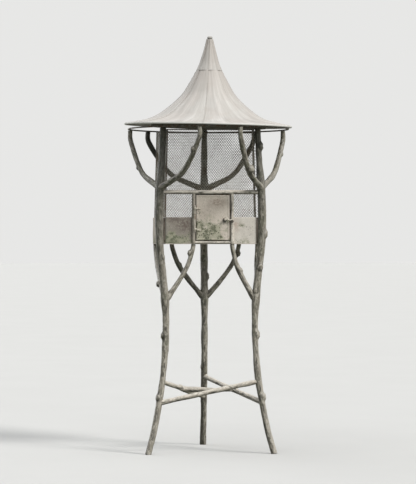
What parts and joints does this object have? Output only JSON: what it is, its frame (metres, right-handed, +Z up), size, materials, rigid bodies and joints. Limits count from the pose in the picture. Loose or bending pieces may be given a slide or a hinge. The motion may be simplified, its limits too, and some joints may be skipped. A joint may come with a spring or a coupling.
{
  "type": "aviary",
  "caption": "Garden aviary on branch-form metal legs, with a wire cage, a sheet apron, a hinged door and a flared round roof.",
  "frame": {"origin": "on the ground, at the middle of the three feet", "axes": "+Z up, -Y towards the front with the door, +X to the right seen from the front"},
  "size_m": [0.9799, 0.98, 2.4398],
  "materials": {
    "limb": "weathered",
    "roof_sheet": "weathered",
    "apron_sheet": "weathered",
    "wire": "dull",
    "dark_iron": "dull",
    "board": "weathered"
  },
  "bodies": {
    "root": {"left_trunk": "limb", "right_trunk": "limb", "back_trunk": "limb", "left_low_branches": "limb", "right_low_branches": "limb", "back_low_branches": "limb", "left_high_branches": "limb", "right_high_branches": "limb", "back_high_branches": "limb", "front_stretcher": "limb", "right_stretcher": "limb", "left_stretcher": "limb", "stretcher_twig": "limb", "hoop": "dark_iron", "ceiling_board": "board", "roof_ring": "dark_iron", "roof_skirt": "roof_sheet", "roof_collar": "roof_sheet", "roof_cap": "roof_sheet", "cage_floor": "apron_sheet", "front_left_apron": "apron_sheet", "front_right_apron": "apron_sheet", "left_apron": "apron_sheet", "right_apron": "apron_sheet", "back_apron": "apron_sheet", "cage_rods": "dark_iron", "front_wire": "wire", "left_window_wire": "wire", "right_window_wire": "wire", "left_wire": "wire", "right_wire": "wire", "back_wire": "wire", "front_rail": "limb", "left_jamb": "limb", "right_jamb": "limb", "door_sill": "limb", "hinge_rod": "dark_iron", "latch_keeper": "dark_iron"},
    "door": {"door_leaf": "apron_sheet", "door_hinge_eyes": "dark_iron", "door_latch": "dark_iron"}
  },
  "joints": [
    {"name": "door_hinge", "type": "hinge", "parent": "root", "child": "door", "pos_m": [-0.093, -0.19098, 1.37], "axis": [0, 0, -1], "range_deg": [0, 105]}
  ]
}
